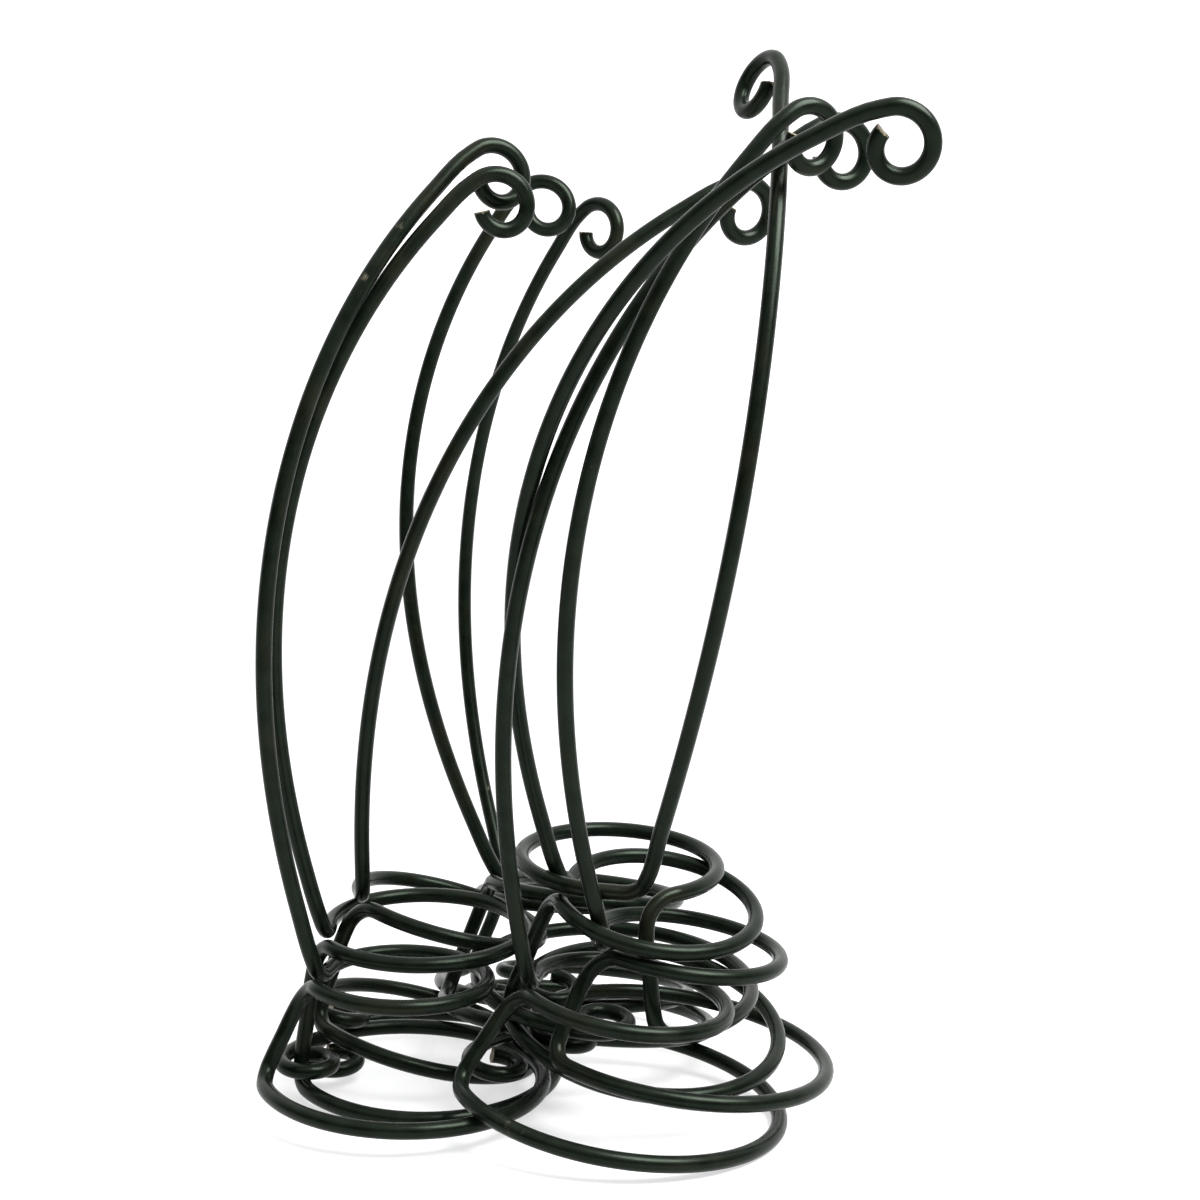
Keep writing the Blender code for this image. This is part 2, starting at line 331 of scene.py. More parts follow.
    def corners(self, line: np.ndarray) -> np.ndarray:
        """The corners of the rod's solid along a centre line, section by section."""
        ways = np.array([unit(way) for way in np.diff(line, axis=0)])
        tangents = np.array([ways[0], *[unit(a + b) for a, b in zip(ways, ways[1:])], ways[-1]])
        normal = UP
        radius = self.sizes.wire / 2 / math.cos(math.pi / SIDES)
        angles = (np.arange(SIDES) + 0.5) * 2 * math.pi / SIDES
        sections = []
        for point, tangent in zip(line, tangents):
            normal = unit(normal - tangent * (normal @ tangent))
            side = np.cross(tangent, normal)
            around = np.outer(np.cos(angles), normal) + np.outer(np.sin(angles), side)
            sections.append(point + radius * around)
        return np.array(sections)


@dataclass
class Pile:
    """The nine rods, eased clear of each other and stood on the table."""

    sizes: RodSizes = field(default_factory=RodSizes)

    def sampled(self, points: np.ndarray) -> tuple[np.ndarray, np.ndarray]:
        """Evenly spaced points along a centre line, and the direction at each."""
        legs = np.diff(points, axis=0)
        lengths = np.linalg.norm(legs, axis=1)
        travelled = np.concatenate([[0], np.cumsum(lengths)])
        count = int(travelled[-1] / SAMPLE)
        at = (np.arange(count) + 0.5) * travelled[-1] / count
        leg = np.searchsorted(travelled, at, side="right") - 1
        ways = legs[leg] / lengths[leg][:, None]
        return points[leg] + ways * (at - travelled[leg])[:, None], ways

    def at_pose(self, line: tuple, pose: tuple) -> tuple[np.ndarray, np.ndarray]:
        """A sampled centre line, moved to where its stand lies."""
        return line[0] @ pose[0].T + pose[1], line[1] @ pose[0].T

    def near_pairs(self, first: tuple, second: tuple) -> tuple[np.ndarray, np.ndarray]:
        """The samples of two wires that lie close enough to be worth measuring."""
        apart = first[0][:, None] - second[0][None]
        return np.nonzero(np.einsum("ijk,ijk->ij", apart, apart) < (4 * self.sizes.wire) ** 2)

    def nearest_approach(
        self, first: tuple, second: tuple, pairs: tuple
    ) -> tuple[float, np.ndarray, np.ndarray]:
        """The shortest way between two wires.

        Args:
            first: one wire's samples and directions.
            second: the other's.
            pairs: the samples of each that are near one another.

        Returns:
            Its length, its direction and its middle.
        """
        rows, columns = pairs
        here, u = first[0][rows], first[1][rows]
        there, v = second[0][columns], second[1][columns]
        apart = here - there
        lean = np.einsum("ij,ij->i", u, v)
        along_u = np.einsum("ij,ij->i", u, apart)
        along_v = np.einsum("ij,ij->i", v, apart)
        flat = np.maximum(1 - lean**2, 1e-6)
        s = np.clip((lean * along_v - along_u) / flat, -SAMPLE / 2, SAMPLE / 2)
        t = np.clip((along_v - lean * along_u) / flat, -SAMPLE / 2, SAMPLE / 2)
        apart = apart + u * s[:, None] - v * t[:, None]
        lengths = np.linalg.norm(apart, axis=1)
        best = int(np.argmin(lengths))
        point = here[best] + u[best] * s[best] - apart[best] / 2
        return lengths[best], apart[best] / max(lengths[best], 1e-9), point

    def pushed(self, pose: tuple, middle: np.ndarray, point: np.ndarray, push: np.ndarray) -> tuple:
        """A pose after a push at a point: partly moved along it, partly turned by it."""
        turn, position = pose
        arm = np.cross(point - middle, push) / SWING**2
        angle = float(np.linalg.norm(arm))
        extra = rotation(arm / angle, math.degrees(angle)) if angle > 1e-12 else np.eye(3)
        return extra @ turn, middle + extra @ (position - middle) + push

    def give(self, middle: np.ndarray, point: np.ndarray, way: np.ndarray) -> float:
        """How readily a stand moves at a point when it is pushed along a way there."""
        arm = np.cross(point - middle, way)
        return 1 + float(arm @ arm) / SWING**2

    def settle(self, rods: list[BentRod], centre_lines: list[np.ndarray]) -> list[tuple]:
        """Ease the stands apart until no two wires are nearer than the gap.

        Args:
            rods: the stands.
            centre_lines: the centre line of each on its own axis.

        Returns:
            The turn and position of every stand in the pile.
        """
        gap = self.sizes.wire / math.cos(math.pi / SIDES) + self.sizes.clearance
        poses = [rod.set_down() for rod in rods]
        lines = [self.sampled(line) for line in centre_lines]
        for turn_of_work in range(SETTLE_ROUNDS):
            worst = 0.0
            if turn_of_work % LOOK_AGAIN == 0:
                placed = [self.at_pose(line, pose) for line, pose in zip(lines, poses)]
                close = {(i, j): self.near_pairs(placed[i], placed[j])
                         for i in range(len(poses)) for j in range(i)}
            for (i, j), pairs in close.items():
                if not len(pairs[0]):
                    continue
                one, two = self.at_pose(lines[i], poses[i]), self.at_pose(lines[j], poses[j])
                distance, way, point = self.nearest_approach(one, two, pairs)
                if distance >= gap:
                    continue
                worst = max(worst, gap - distance)
                middles = (one[0].mean(axis=0), two[0].mean(axis=0))
                share = sum(self.give(middle, point, way) for middle in middles)
                ease = (gap - distance + self.sizes.clearance / 10) / share
                poses[i] = self.pushed(poses[i], middles[0], point, way * ease)
                poses[j] = self.pushed(poses[j], middles[1], point, -way * ease)
            if worst == 0.0:
                break
        return poses

    def seat(self, corners: np.ndarray) -> tuple[np.ndarray, np.ndarray]:
        """The turn and shift that stand the pile on the face it would rest on.

        Args:
            corners: the corner points of all the rods in the pile.

        Returns:
            A 3 x 3 turn and a shift that put the resting face on z = 0 and the
            middle of the pile's bounding box over the origin.
        """
        middle = corners.mean(axis=0)
        hull = bmesh.new()
        for corner in corners:
            hull.verts.new(corner)
        bmesh.ops.convex_hull(hull, input=hull.verts)
        bmesh.ops.triangulate(hull, faces=hull.faces)
        down = np.array([0, 0, -1.0])
        turn = np.eye(3)
        for face in hull.faces:
            a, b, c = (np.array(vertex.co) for vertex in face.verts)
            normal = np.cross(b - a, c - a)
            if np.linalg.norm(normal) < 1e-12 or normal @ (a - middle) == 0:
                continue
            normal = unit(normal) * np.sign(normal @ (a - middle))
            if normal[2] > -1e-6:
                continue
            plan = np.array([[*point[:2], 1] for point in (a, b, c)]).T
            if np.linalg.solve(plan, [*middle[:2], 1]).min() >= 0:
                axis = np.cross(normal, down)
                angle = math.degrees(math.asin(min(1.0, float(np.linalg.norm(axis)))))
                turn = rotation(unit(axis), angle) if angle > 1e-6 else np.eye(3)
        hull.free()
        turned = corners @ turn.T
        low, high = turned.min(axis=0), turned.max(axis=0)
        return turn, -np.array([(low[0] + high[0]) / 2, (low[1] + high[1]) / 2, low[2]])

    def laid(self) -> list[tuple[BentRod, np.ndarray]]:
        """Every rod with its centre line where it lies on the table."""
        rods = [BentRod(one, self.sizes) for one in STANDS]
        lines = [rod.centre_line() for rod in rods]
        poses = self.settle(rods, lines)
        solids = [rod.corners(line) @ turn.T + at for rod, line, (turn, at) in zip(rods, lines, poses)]
        turn, shift = self.seat(np.concatenate([solid.reshape(-1, 3) for solid in solids]))
        return [(rod, (line @ pose[0].T + pose[1]) @ turn.T + shift)
                for rod, line, pose in zip(rods, lines, poses)]


class NodeGraph:
    """A node tree that is built a node at a time."""

    def __init__(self, tree: bpy.types.NodeTree) -> None:
        """Work on one tree."""
        self.tree = tree

    def add(self, kind: str, settings: dict | None = None, **inputs: object) -> bpy.types.Node:
        """Put in a node and fill its inputs.

        Args:
            kind: the node's Blender type.
            settings: properties of the node itself.
            inputs: a value or an output socket for each input, by its name in
                lower case with underscores, or by its number after "in_".

        Returns:
            The node.
        """
        node = self.tree.nodes.new(kind)
        for name, value in (settings or {}).items():
            setattr(node, name, value)
        named = {}
        for socket in node.inputs:
            if socket.enabled:
                named.setdefault(socket.name.lower().replace(" ", "_"), socket)
        for name, value in inputs.items():
            socket = node.inputs[int(name[3:])] if name.startswith("in_") else named[name]
            if isinstance(value, bpy.types.NodeSocket):
                self.tree.links.new(value, socket)
            else:
                socket.default_value = value
        return node

    def maths(self, operation: str, first: object, second: object = 0.0) -> bpy.types.NodeSocket:
        """The output of one Math node."""
        return self.add("ShaderNodeMath", {"operation": operation}, in_0=first, in_1=second).outputs[0]

    def ramp(self, value: object, low: float, high: float) -> bpy.types.NodeSocket:
        """A value brought from low..high to 0..1, with soft ends."""
        settings = {"interpolation_type": "SMOOTHSTEP"}
        node = self.add("ShaderNodeMapRange", settings, value=value, from_min=low, from_max=high)
        return node.outputs["Result"]

    def mixed(self, share: object, first: object, second: object) -> bpy.types.NodeSocket:
        """One colour blended into another."""
        node = self.add("ShaderNodeMix", {"data_type": "RGBA"})
        for socket, value in zip((node.inputs[0], node.inputs[6], node.inputs[7]), (share, first, second)):
            if isinstance(value, bpy.types.NodeSocket):
                self.tree.links.new(value, socket)
            else:
                socket.default_value = value
        return node.outputs[2]


@dataclass(frozen=True)
class RodSweep:
    """The tree that sweeps a round rod along its centre line."""

    round_steps: int = 24
    along_steps: int = 5
    ripple: float = 0.02 * MM
    ripple_length: float = 14.0 * MM
    seed: float = 3.0

    def tree(self) -> bpy.types.NodeTree:
        """Build the node tree, with its sizes as named inputs."""
        group = bpy.data.node_groups.new("swept_rod", "GeometryNodeTree")
        sockets = group.interface
        sockets.new_socket("Centre Line", in_out="INPUT", socket_type="NodeSocketGeometry")
        for name in ("Wire Radius", "Ripple", "Ripple Length", "Seed"):
            sockets.new_socket(name, in_out="INPUT", socket_type="NodeSocketFloat")
        sockets.new_socket("Round Steps", in_out="INPUT", socket_type="NodeSocketInt")
        sockets.new_socket("Coat", in_out="INPUT", socket_type="NodeSocketMaterial")
        sockets.new_socket("Rod", in_out="OUTPUT", socket_type="NodeSocketGeometry")
        graph = NodeGraph(group)
        given = graph.add("NodeGroupInput").outputs

        line = graph.add("GeometryNodeMeshToCurve", mesh=given["Centre Line"])
        along = graph.add("GeometryNodeCaptureAttribute", geometry=line.outputs[0])
        along.capture_items.new("FLOAT", "Along")
        travelled = graph.add("GeometryNodeSplineParameter").outputs["Length"]
        whole = graph.add("GeometryNodeSplineLength").outputs["Length"]
        nearer_end = graph.maths("MINIMUM", travelled, graph.maths("SUBTRACT", whole, travelled))
        group.links.new(nearer_end, along.inputs["Along"])

        circle = graph.add(
            "GeometryNodeCurvePrimitiveCircle",
            resolution=given["Round Steps"], radius=given["Wire Radius"])
        across = graph.add("GeometryNodeCaptureAttribute", geometry=circle.outputs["Curve"])
        across.capture_items.new("VECTOR", "Across")
        group.links.new(graph.add("GeometryNodeInputPosition").outputs[0], across.inputs["Across"])

        swept = graph.add(
            "GeometryNodeCurveToMesh",
            curve=along.outputs[0], profile_curve=across.outputs[0], fill_caps=True)
        section = graph.add("ShaderNodeSeparateXYZ", vector=across.outputs["Across"])
        lay = graph.add(
            "ShaderNodeCombineXYZ",
            x=along.outputs["Along"], y=section.outputs["X"], z=section.outputs["Y"])
        mapped = graph.add(
            "GeometryNodeStoreNamedAttribute", {"data_type": "FLOAT_VECTOR", "domain": "POINT"},
            geometry=swept.outputs[0], name=WireMap.LAY.value, value=lay.outputs[0])

        frequency = graph.maths("DIVIDE", 1.0, given["Ripple Length"])
        waves = graph.add(
            "ShaderNodeTexNoise", {"noise_dimensions": "4D"},
            vector=lay.outputs[0], w=given["Seed"], scale=frequency, detail=1.0)
        height = graph.maths("MULTIPLY", graph.maths("SUBTRACT", waves.outputs[0], 0.5), given["Ripple"])
        outward = graph.add("GeometryNodeInputNormal").outputs[0]
        push = graph.add("ShaderNodeVectorMath", {"operation": "SCALE"}, vector=outward, scale=height)
        rippled = graph.add("GeometryNodeSetPosition", geometry=mapped.outputs[0], offset=push.outputs[0])

        smooth = graph.add("GeometryNodeSetShadeSmooth", geometry=rippled.outputs[0], shade_smooth=True)
        real = graph.add("GeometryNodeRealizeInstances", geometry=smooth.outputs[0])
        dressed = graph.add("GeometryNodeSetMaterial", geometry=real.outputs[0], material=given["Coat"])
        graph.add("NodeGroupOutput", in_0=dressed.outputs[0])
        return group

    def eased(self, line: np.ndarray) -> np.ndarray:
        """A smooth line through every point of a coarse one.

        Args:
            line: the coarse points, unevenly spaced.

        Returns:
            The fine points, along_steps of them to each step of the coarse line.
        """
        legs = np.diff(line, axis=0)
        lengths = np.linalg.norm(legs, axis=1)[:, None]
        slopes = legs / lengths
        inner = slopes[:-1] * lengths[1:] + slopes[1:] * lengths[:-1]
        inner /= lengths[:-1] + lengths[1:]
        tangents = np.concatenate([[2 * slopes[0] - inner[0]], inner, [2 * slopes[-1] - inner[-1]]])
        share = np.arange(self.along_steps)[:, None, None] / self.along_steps
        fine = (2 * share**3 - 3 * share**2 + 1) * line[:-1] + (3 * share**2 - 2 * share**3) * line[1:]
        fine += (share**3 - 2 * share**2 + share) * lengths * tangents[:-1]
        fine += (share**3 - share**2) * lengths * tangents[1:]
        return np.concatenate([fine.transpose(1, 0, 2).reshape(-1, 3), line[-1:]])

    def plain_mesh(self, name: str, line: np.ndarray, radius: float, tree: bpy.types.NodeTree,
                   coat: bpy.types.Material) -> bpy.types.Object:
        """Sweep one rod and keep it as a plain mesh object at the origin.

        Args:
            name: the new object's name.
            line: the centre line's points.
            radius: the rod's radius.
            tree: the tree from tree().
            coat: the rod's finish.

        Returns:
            The object, in the scene, with no modifier.
        """
        line = self.eased(line)
        wire = bpy.data.meshes.new(f"{name}_line")
        wire.from_pydata([tuple(point) for point in line], [(i, i + 1) for i in range(len(line) - 1)], [])
        guide = bpy.data.objects.new(f"{name}_guide", wire)
        bpy.context.scene.collection.objects.link(guide)
        modifier = guide.modifiers.new("swept_rod", "NODES")
        modifier.node_group = tree
        values = {
            "Wire Radius": radius, "Ripple": self.ripple, "Ripple Length": self.ripple_length,
            "Seed": self.seed, "Round Steps": self.round_steps, "Coat": coat}
        for item in tree.interface.items_tree:
            if item.name in values:
                modifier[item.identifier] = values[item.name]
        graph = bpy.context.evaluated_depsgraph_get()
        mesh = bpy.data.meshes.new_from_object(guide.evaluated_get(graph))
        mesh.name = name
        rod = bpy.data.objects.new(name, mesh)
        bpy.context.scene.collection.objects.link(rod)
        bpy.data.objects.remove(guide)
        return rod


@dataclass(frozen=True)
class ShearedEnd:
    """How the cutters left the ends of a rod: a slant, a torn face and a burr.

    The slant starts at another corner of the section on each rod and at each
    end, and the burr stands only near the rim.
    """

    rings: int = 4
    slant: float = 0.16
    tear: float = 0.22 * MM
    burr: float = 0.10 * MM
    burr_crowding: int = 6
    grain: float = 1.1 * MM
    slant_per_rod: int = 5
    slant_per_end: int = 11

    def shear(self, rod: bpy.types.Object, cut: bpy.types.Material, seed: int) -> None:
        """Turn the flat caps of a swept rod into torn, slanting cut faces.

        Args:
            rod: the swept rod, whose two caps are its only many-sided faces.
            cut: the finish of bare cut steel.
            seed: which tear this rod gets.
        """
        rod.data.materials.append(cut)
        body = bmesh.new()
        body.from_mesh(rod.data)
        caps = [face for face in body.faces if len(face.verts) > 4]
        for number, cap in enumerate(caps):
            middle = cap.calc_center_median()
            outward = cap.normal.copy()
            outline = [vertex.co.copy() for vertex in cap.verts]
            radius = (outline[0] - middle).length
            lowest = (seed * self.slant_per_rod + number * self.slant_per_end) % len(outline)
            lean_to = (outline[lowest] - middle).normalized()
            whole = self.rings_of(body, cap, middle)
            for face in whole:
                face.material_index = 1
                face.smooth = False
            moved = {vertex for face in whole for vertex in face.verts}
            for vertex in moved:
                arm = vertex.co - middle
                reach = arm.length / radius
                rough = noise.noise(vertex.co / self.grain + Vector((seed, number, 0)))
                lift = -self.slant * (radius + arm.dot(lean_to)) + self.tear * rough
                finer = noise.noise(vertex.co / self.grain * 2)
                lift += self.burr * reach**self.burr_crowding * (1 + finer)
                vertex.co += outward * (lift - self.tear - 2 * self.burr)
        body.normal_update()
        body.to_mesh(rod.data)
        body.free()

    def rings_of(self, body: bmesh.types.BMesh, cap: bmesh.types.BMFace, middle: Vector) -> list:
        """Split a cap into rings of small faces round its middle."""
        outer = list(cap.verts)
        body.faces.remove(cap)
        faces = []
        for ring in range(self.rings, 0, -1):
            if ring == 1:
                tip = body.verts.new(middle)
                inner = [tip] * len(outer)
            else:
                share = (ring - 1) / self.rings
                inner = [body.verts.new(middle + (vertex.co - middle) * share / (ring / self.rings))
                         for vertex in outer]
            for index, vertex in enumerate(outer):
                after = (index + 1) % len(outer)
                if ring == 1:
                    faces.append(body.faces.new((vertex, outer[after], tip)))
                else:
                    faces.append(body.faces.new((vertex, outer[after], inner[after], inner[index])))
            outer = inner
        return faces


class SurfaceGroups:
    """The effects of the finishes, each built once.

    Scales are per metre. Each band runs from where an effect is absent to
    where it is full.
    """

    SWELL_BAND = (0.3, 0.7)
    LINE_STRETCH = (0.12, 1.0, 1.0)
    LINE_SCALE = 1900.0
    DRAWN_BAND = (0.35, 0.65)
    STREAK_BAND = (0.46, 0.62)
    SCUFF_EDGE = 0.78
    SCUFF_SPREAD = 0.16
    SCUFF_FADE = 0.06
    BRUISE_SCALE = 45.0
    BRUISE_SEED = 7.0
    BRUISE_BAND = (0.52, 0.72)
    CHIP_SCALE = 700.0
    CHIP_BAND = (1.1, 0.8)

    def __init__(self) -> None:
        """Build the groups."""
        self.mill_grain = self.build_mill_grain()
        self.handling = self.build_handling()

    def start(
        self, name: str, vectors: tuple[str, ...], inputs: dict[str, float], outputs: tuple[str, ...]
    ) -> tuple:
        """Start a shader group.

        Args:
            name: its name.
            vectors: its vector inputs.
            inputs: its number inputs and their usual values.
            outputs: its outputs, which are numbers too.

        Returns:
            The group, its graph, its input sockets and its output node.
        """
        group = bpy.data.node_groups.new(name, "ShaderNodeTree")
        for label in vectors:
            vector = group.interface.new_socket(label, in_out="INPUT", socket_type="NodeSocketVector")
            vector.hide_value = True
        for label, value in inputs.items():
            socket = group.interface.new_socket(label, in_out="INPUT", socket_type="NodeSocketFloat")
            socket.default_value = value
        for label in outputs:
            group.interface.new_socket(label, in_out="OUTPUT", socket_type="NodeSocketFloat")
        graph = NodeGraph(group)
        return group, graph, graph.add("NodeGroupInput").outputs, graph.add("NodeGroupOutput")

    def build_mill_grain(self) -> bpy.types.NodeTree:
        """Fine pits and soft swells, for bump and a little change of tone."""
        group, graph, given, out = self.start(
            "mill_grain", ("Vector",), {"Pit Scale": 1400.0, "Swell Scale": 160.0, "Pit Share": 0.5},
            ("Height", "Tone"))
        pits = graph.add(
            "ShaderNodeTexNoise",
            vector=given["Vector"], scale=given["Pit Scale"], detail=4.0, roughness=0.6)
        swells = graph.add(
            "ShaderNodeTexNoise", vector=given["Vector"], scale=given["Swell Scale"], detail=2.0)
        share = graph.maths("MULTIPLY", pits.outputs[0], given["Pit Share"])
        rest = graph.maths(
            "MULTIPLY", swells.outputs[0], graph.maths("SUBTRACT", 1.0, given["Pit Share"]))
        group.links.new(graph.maths("ADD", share, rest), out.inputs["Height"])
        group.links.new(graph.ramp(swells.outputs[0], *self.SWELL_BAND), out.inputs["Tone"])
        return group

    def build_handling(self) -> bpy.types.NodeTree:
        """Scuffs and faint drawn lines along the rod, brown bruises, and chips at its ends."""
        group, graph, given, out = self.start(
            "handling_marks", ("Vector", "Place"),
            {"Amount": 0.5, "Spots": 90.0, "Chip Reach": 2.0 * MM},
            ("Scuff", "Drawn", "Bruise", "Chipped"))
        stretched = graph.add(
            "ShaderNodeVectorMath", {"operation": "MULTIPLY"},
            in_0=given["Vector"], in_1=self.LINE_STRETCH)
        lines = graph.add(
            "ShaderNodeTexNoise",
            vector=stretched.outputs[0], scale=self.LINE_SCALE, detail=3.0, roughness=0.55)
        spots = graph.add("ShaderNodeTexNoise", vector=given["Place"], scale=given["Spots"], detail=3.0)
        bruises = graph.add(
            "ShaderNodeTexNoise", {"noise_dimensions": "4D"},
            vector=given["Place"], w=self.BRUISE_SEED, scale=self.BRUISE_SCALE, detail=2.0)
        spread = graph.maths("MULTIPLY", given["Amount"], self.SCUFF_SPREAD)
        edge = graph.maths("SUBTRACT", self.SCUFF_EDGE, spread)
        patch = graph.ramp(spots.outputs[0], edge, graph.maths("ADD", edge, self.SCUFF_FADE))
        streak = graph.ramp(lines.outputs[0], *self.STREAK_BAND)
        group.links.new(graph.maths("MULTIPLY", patch, streak), out.inputs["Scuff"])
        group.links.new(graph.ramp(lines.outputs[0], *self.DRAWN_BAND), out.inputs["Drawn"])
        group.links.new(graph.ramp(bruises.outputs[0], *self.BRUISE_BAND), out.inputs["Bruise"])
        ragged = graph.add(
            "ShaderNodeTexNoise", vector=given["Place"], scale=self.CHIP_SCALE, detail=2.0)
        from_end = graph.add("ShaderNodeSeparateXYZ", vector=given["Vector"]).outputs["X"]
        reach = graph.maths("MULTIPLY", ragged.outputs[0], given["Chip Reach"])
        bare = graph.ramp(graph.maths("DIVIDE", from_end, reach), *self.CHIP_BAND)
        group.links.new(bare, out.inputs["Chipped"])
        return group


@dataclass(frozen=True)
class SatinCoat:
    """The satin black coat: near black with a green cast, scuffed here and there."""

    deep: tuple = (0.0020, 0.0032, 0.0020, 1.0)
    pale: tuple = (0.0042, 0.0064, 0.0042, 1.0)
    brown: tuple = (0.0130, 0.0110, 0.0060, 1.0)
    worn: tuple = (0.1600, 0.1400, 0.1000, 1.0)
    chipped: tuple = (0.1500, 0.1250, 0.0850, 1.0)
    sheen_cast: tuple = (0.80, 1.0, 0.78, 1.0)
    roughness: tuple = (0.25, 0.32)
    specular: float = 0.12
    bump: float = 0.12
    bump_depth: float = 0.08 * MM
    scuffing: float = 0.45
    bruise_strength: float = 0.35
    scuff_strength: float = 0.45
    bare_roughening: float = 0.2

    def material(self, groups: SurfaceGroups) -> bpy.types.Material:
        """Build the finish."""
        material = bpy.data.materials.new("black_coat")
        material.use_nodes = True
        graph = NodeGraph(material.node_tree)
        shader = material.node_tree.nodes["Principled BSDF"]
        lay = graph.add("ShaderNodeAttribute", {"attribute_name": WireMap.LAY.value}).outputs["Vector"]
        place = graph.add("ShaderNodeTexCoord").outputs["Object"]
        grain = graph.add("ShaderNodeGroup", {"node_tree": groups.mill_grain}, vector=place)
        marks = graph.add(
            "ShaderNodeGroup", {"node_tree": groups.handling},
            vector=lay, place=place, amount=self.scuffing)
        tone = graph.mixed(grain.outputs["Tone"], self.deep, self.pale)
        bruise = graph.maths("MULTIPLY", marks.outputs["Bruise"], self.bruise_strength)
        bruised = graph.mixed(bruise, tone, self.brown)
        scuff = graph.maths("MULTIPLY", marks.outputs["Scuff"], self.scuff_strength)
        scuffed = graph.mixed(scuff, bruised, self.worn)
        colour = graph.mixed(marks.outputs["Chipped"], scuffed, self.chipped)
        low, high = self.roughness
        rough = graph.add(
            "ShaderNodeMapRange", value=marks.outputs["Drawn"], to_min=low, to_max=high).outputs["Result"]
        bare = graph.maths("MAXIMUM", marks.outputs["Scuff"], marks.outputs["Chipped"])
        worn_rough = graph.maths("ADD", rough, graph.maths("MULTIPLY", bare, self.bare_roughening))
        bump = graph.add(
            "ShaderNodeBump", strength=self.bump, distance=self.bump_depth, height=grain.outputs["Height"])
        links = material.node_tree.links
        links.new(colour, shader.inputs["Base Color"])
        links.new(worn_rough, shader.inputs["Roughness"])
        links.new(bump.outputs[0], shader.inputs["Normal"])
        shader.inputs["Specular IOR Level"].default_value = self.specular
        shader.inputs["Specular Tint"].default_value = self.sheen_cast
        return material


@dataclass(frozen=True)
class CutSteel:
    """Bare sheared steel at the ends of a rod, dulled to a greyish brown."""

    bright: tuple = (0.40, 0.35, 0.26, 1.0)
    dull: tuple = (0.15, 0.125, 0.085, 1.0)
    roughness: float = 0.6
    metallic: float = 0.15
    tear_scale: float = 900.0
    bump: float = 0.6
    bump_depth: float = 0.1 * MM

    def material(self, groups: SurfaceGroups) -> bpy.types.Material:
        """Build the finish."""
        material = bpy.data.materials.new("bare_cut_steel")
        material.use_nodes = True
        graph = NodeGraph(material.node_tree)
        shader = material.node_tree.nodes["Principled BSDF"]
        place = graph.add("ShaderNodeTexCoord").outputs["Object"]
        grain = graph.add(
            "ShaderNodeGroup", {"node_tree": groups.mill_grain},
            vector=place, swell_scale=self.tear_scale)
        colour = graph.mixed(grain.outputs["Tone"], self.dull, self.bright)
        bump = graph.add(
            "ShaderNodeBump", strength=self.bump, distance=self.bump_depth, height=grain.outputs["Height"])
        links = material.node_tree.links
        links.new(colour, shader.inputs["Base Color"])
        links.new(bump.outputs[0], shader.inputs["Normal"])
        shader.inputs["Roughness"].default_value = self.roughness
        shader.inputs["Metallic"].default_value = self.metallic
        return material


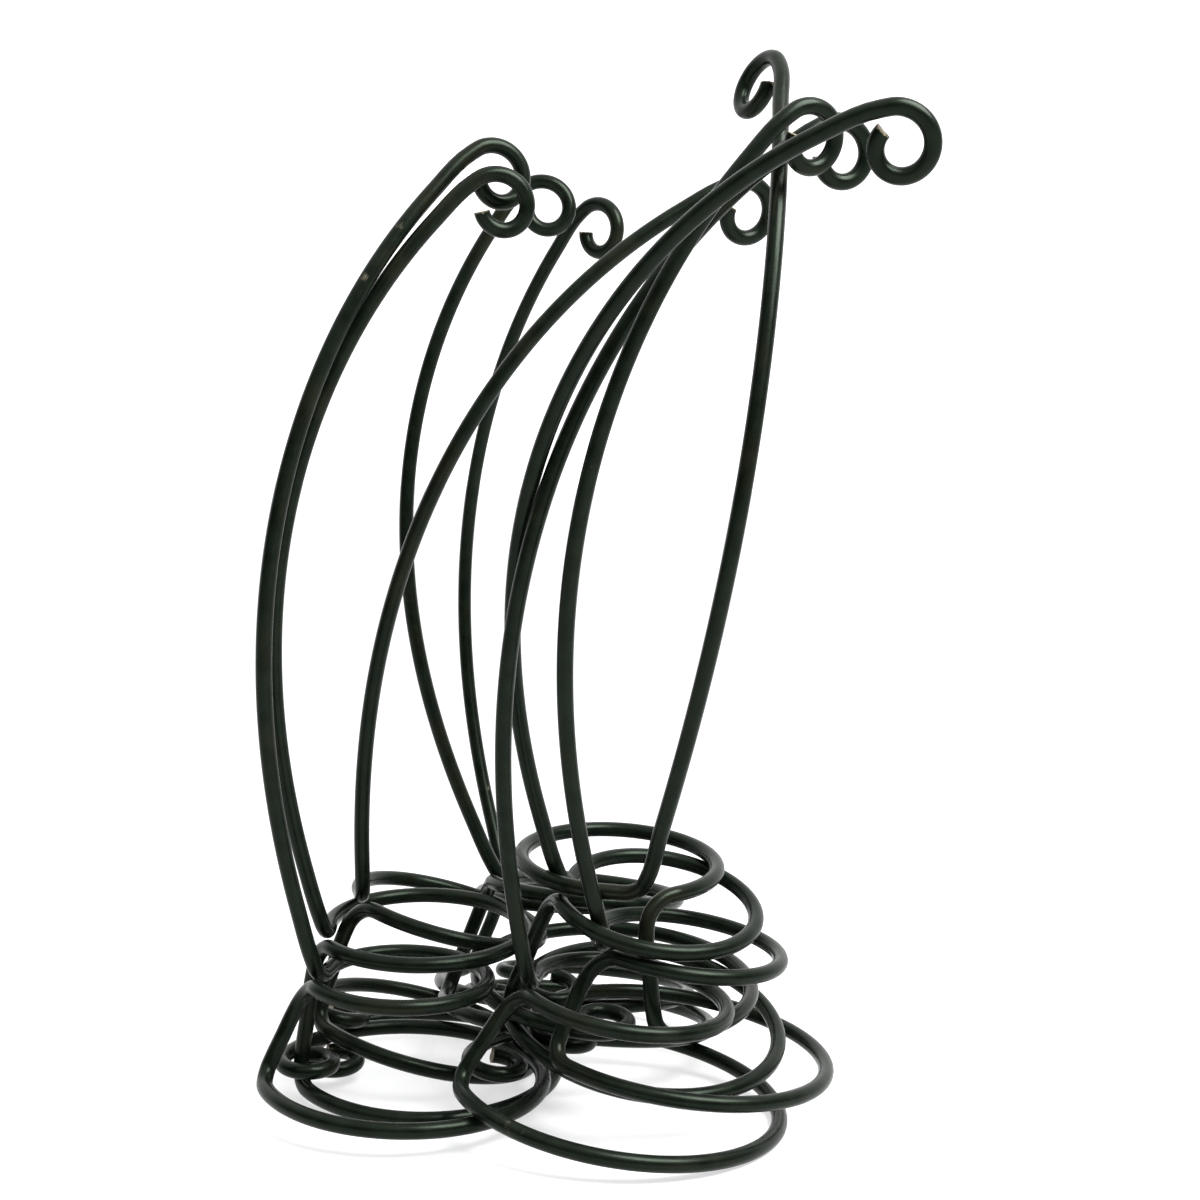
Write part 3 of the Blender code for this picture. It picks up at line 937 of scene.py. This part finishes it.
@dataclass(frozen=True)
class Studio:
    """The pale table, the light tent over it and the camera.

    The tent grows from dark to bright across band_behind of a direction's Y
    part, or across band_above of its Z part. Camera angles are in degrees.
    """

    floor_size: float = 12.0
    floor_tone: tuple = (0.42, 0.43, 0.425, 1.0)
    floor_glow: float = 0.60
    floor_roughness: float = 0.9
    floor_specular: float = 0.1
    white: tuple = (1.0, 1.0, 1.0, 1.0)
    tent: float = 1.6
    tent_front: float = 0.03
    band_behind: tuple[float, float] = (-0.15, 0.55)
    band_above: tuple[float, float] = (0.35, 0.9)
    key_power: float = 15.0
    key_size: float = 0.5
    key_aim: tuple[float, float, float] = (0, 0, 0.15)
    key_from: tuple[float, float, float] = (0.36, -0.30, 0.74)
    camera_at: tuple[float, float, float] = (0.0096, -0.6565, 0.2268)
    camera_turn: float = -0.19
    camera_down: float = 5.26
    camera_roll: float = 1.18
    lens: float = 57.45

    def floor(self) -> None:
        """A wide pale table top."""
        mesh = bpy.data.meshes.new("table_top")
        half = self.floor_size / 2
        outline = [(-half, -half, 0), (half, -half, 0), (half, half, 0), (-half, half, 0)]
        mesh.from_pydata(outline, [], [(0, 1, 2, 3)])
        top = bpy.data.objects.new("table_top", mesh)
        bpy.context.scene.collection.objects.link(top)
        material = bpy.data.materials.new("table_white")
        material.use_nodes = True
        shader = material.node_tree.nodes["Principled BSDF"]
        shader.inputs["Base Color"].default_value = self.floor_tone
        shader.inputs["Emission Color"].default_value = self.white
        shader.inputs["Emission Strength"].default_value = self.floor_glow
        shader.inputs["Roughness"].default_value = self.floor_roughness
        shader.inputs["Specular IOR Level"].default_value = self.floor_specular
        mesh.materials.append(material)

    def light_tent(self) -> None:
        """White light from behind and above, and little from the camera's side.

        Seen directly, the tent is plain white all round.
        """
        world = bpy.data.worlds.new("light_tent")
        world.use_nodes = True
        bpy.context.scene.world = world
        graph = NodeGraph(world.node_tree)
        way = graph.add("ShaderNodeTexCoord").outputs["Generated"]
        parts = graph.add("ShaderNodeSeparateXYZ", vector=way)
        behind = graph.ramp(parts.outputs["Y"], *self.band_behind)
        above = graph.ramp(parts.outputs["Z"], *self.band_above)
        open_side = graph.maths("MAXIMUM", behind, above)
        strength = graph.add(
            "ShaderNodeMapRange", value=open_side, to_min=self.tent_front, to_max=self.tent)
        seen = graph.add("ShaderNodeLightPath").outputs["Is Camera Ray"]
        shown = graph.add(
            "ShaderNodeMapRange", value=seen, to_min=strength.outputs["Result"], to_max=self.tent)
        background = world.node_tree.nodes["Background"]
        background.inputs["Color"].default_value = self.white
        world.node_tree.links.new(shown.outputs["Result"], background.inputs["Strength"])

    def key_light(self) -> None:
        """A large soft light overhead, on the right."""
        light = bpy.data.lights.new("overhead_softbox", "AREA")
        light.energy = self.key_power
        light.shape = "DISK"
        light.size = self.key_size
        lamp = bpy.data.objects.new("overhead_softbox", light)
        lamp.location = self.key_from
        aim = Vector(self.key_aim) - Vector(self.key_from)
        lamp.rotation_euler = aim.to_track_quat("-Z", "Y").to_euler()
        bpy.context.scene.collection.objects.link(lamp)

    def camera(self) -> None:
        """A level view from the front, a little above the pile's middle."""
        data = bpy.data.cameras.new("camera")
        data.lens = self.lens
        data.sensor_width = 36.0
        view = bpy.data.objects.new("camera", data)
        turn = Matrix.Rotation(math.radians(-self.camera_turn), 4, "Z")
        tilt = Matrix.Rotation(math.radians(90 - self.camera_down), 4, "X")
        roll = Matrix.Rotation(math.radians(self.camera_roll), 4, "Z")
        view.matrix_world = Matrix.Translation(self.camera_at) @ turn @ tilt @ roll
        bpy.context.scene.collection.objects.link(view)
        bpy.context.scene.camera = view

    def build(self) -> None:
        """Set up the whole studio."""
        self.floor()
        self.light_tent()
        self.key_light()
        self.camera()
        bpy.context.scene.view_settings.view_transform = "Standard"


def main() -> None:
    """Build, dress and place every rod, then the studio."""
    logging.basicConfig(level=logging.INFO, format="%(name)s: %(message)s")
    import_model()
    groups = SurfaceGroups()
    coat = SatinCoat().material(groups)
    cut = CutSteel().material(groups)
    sizes = RodSizes()
    sweep = RodSweep()
    tree = sweep.tree()
    ends = ShearedEnd()
    for number, (rod, line) in enumerate(Pile(sizes).laid(), 1):
        piece = sweep.plain_mesh(f"rod_{number}", line, sizes.round_radius(), tree, coat)
        ends.shear(piece, cut, number)
        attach(piece, rod.stand.body)
        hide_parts(rod.stand.node)
        LOG.info("%s: %d faces, rides on %s", piece.name, len(piece.data.polygons), rod.stand.body)
    Studio().build()


if __name__ == "__main__":
    main()
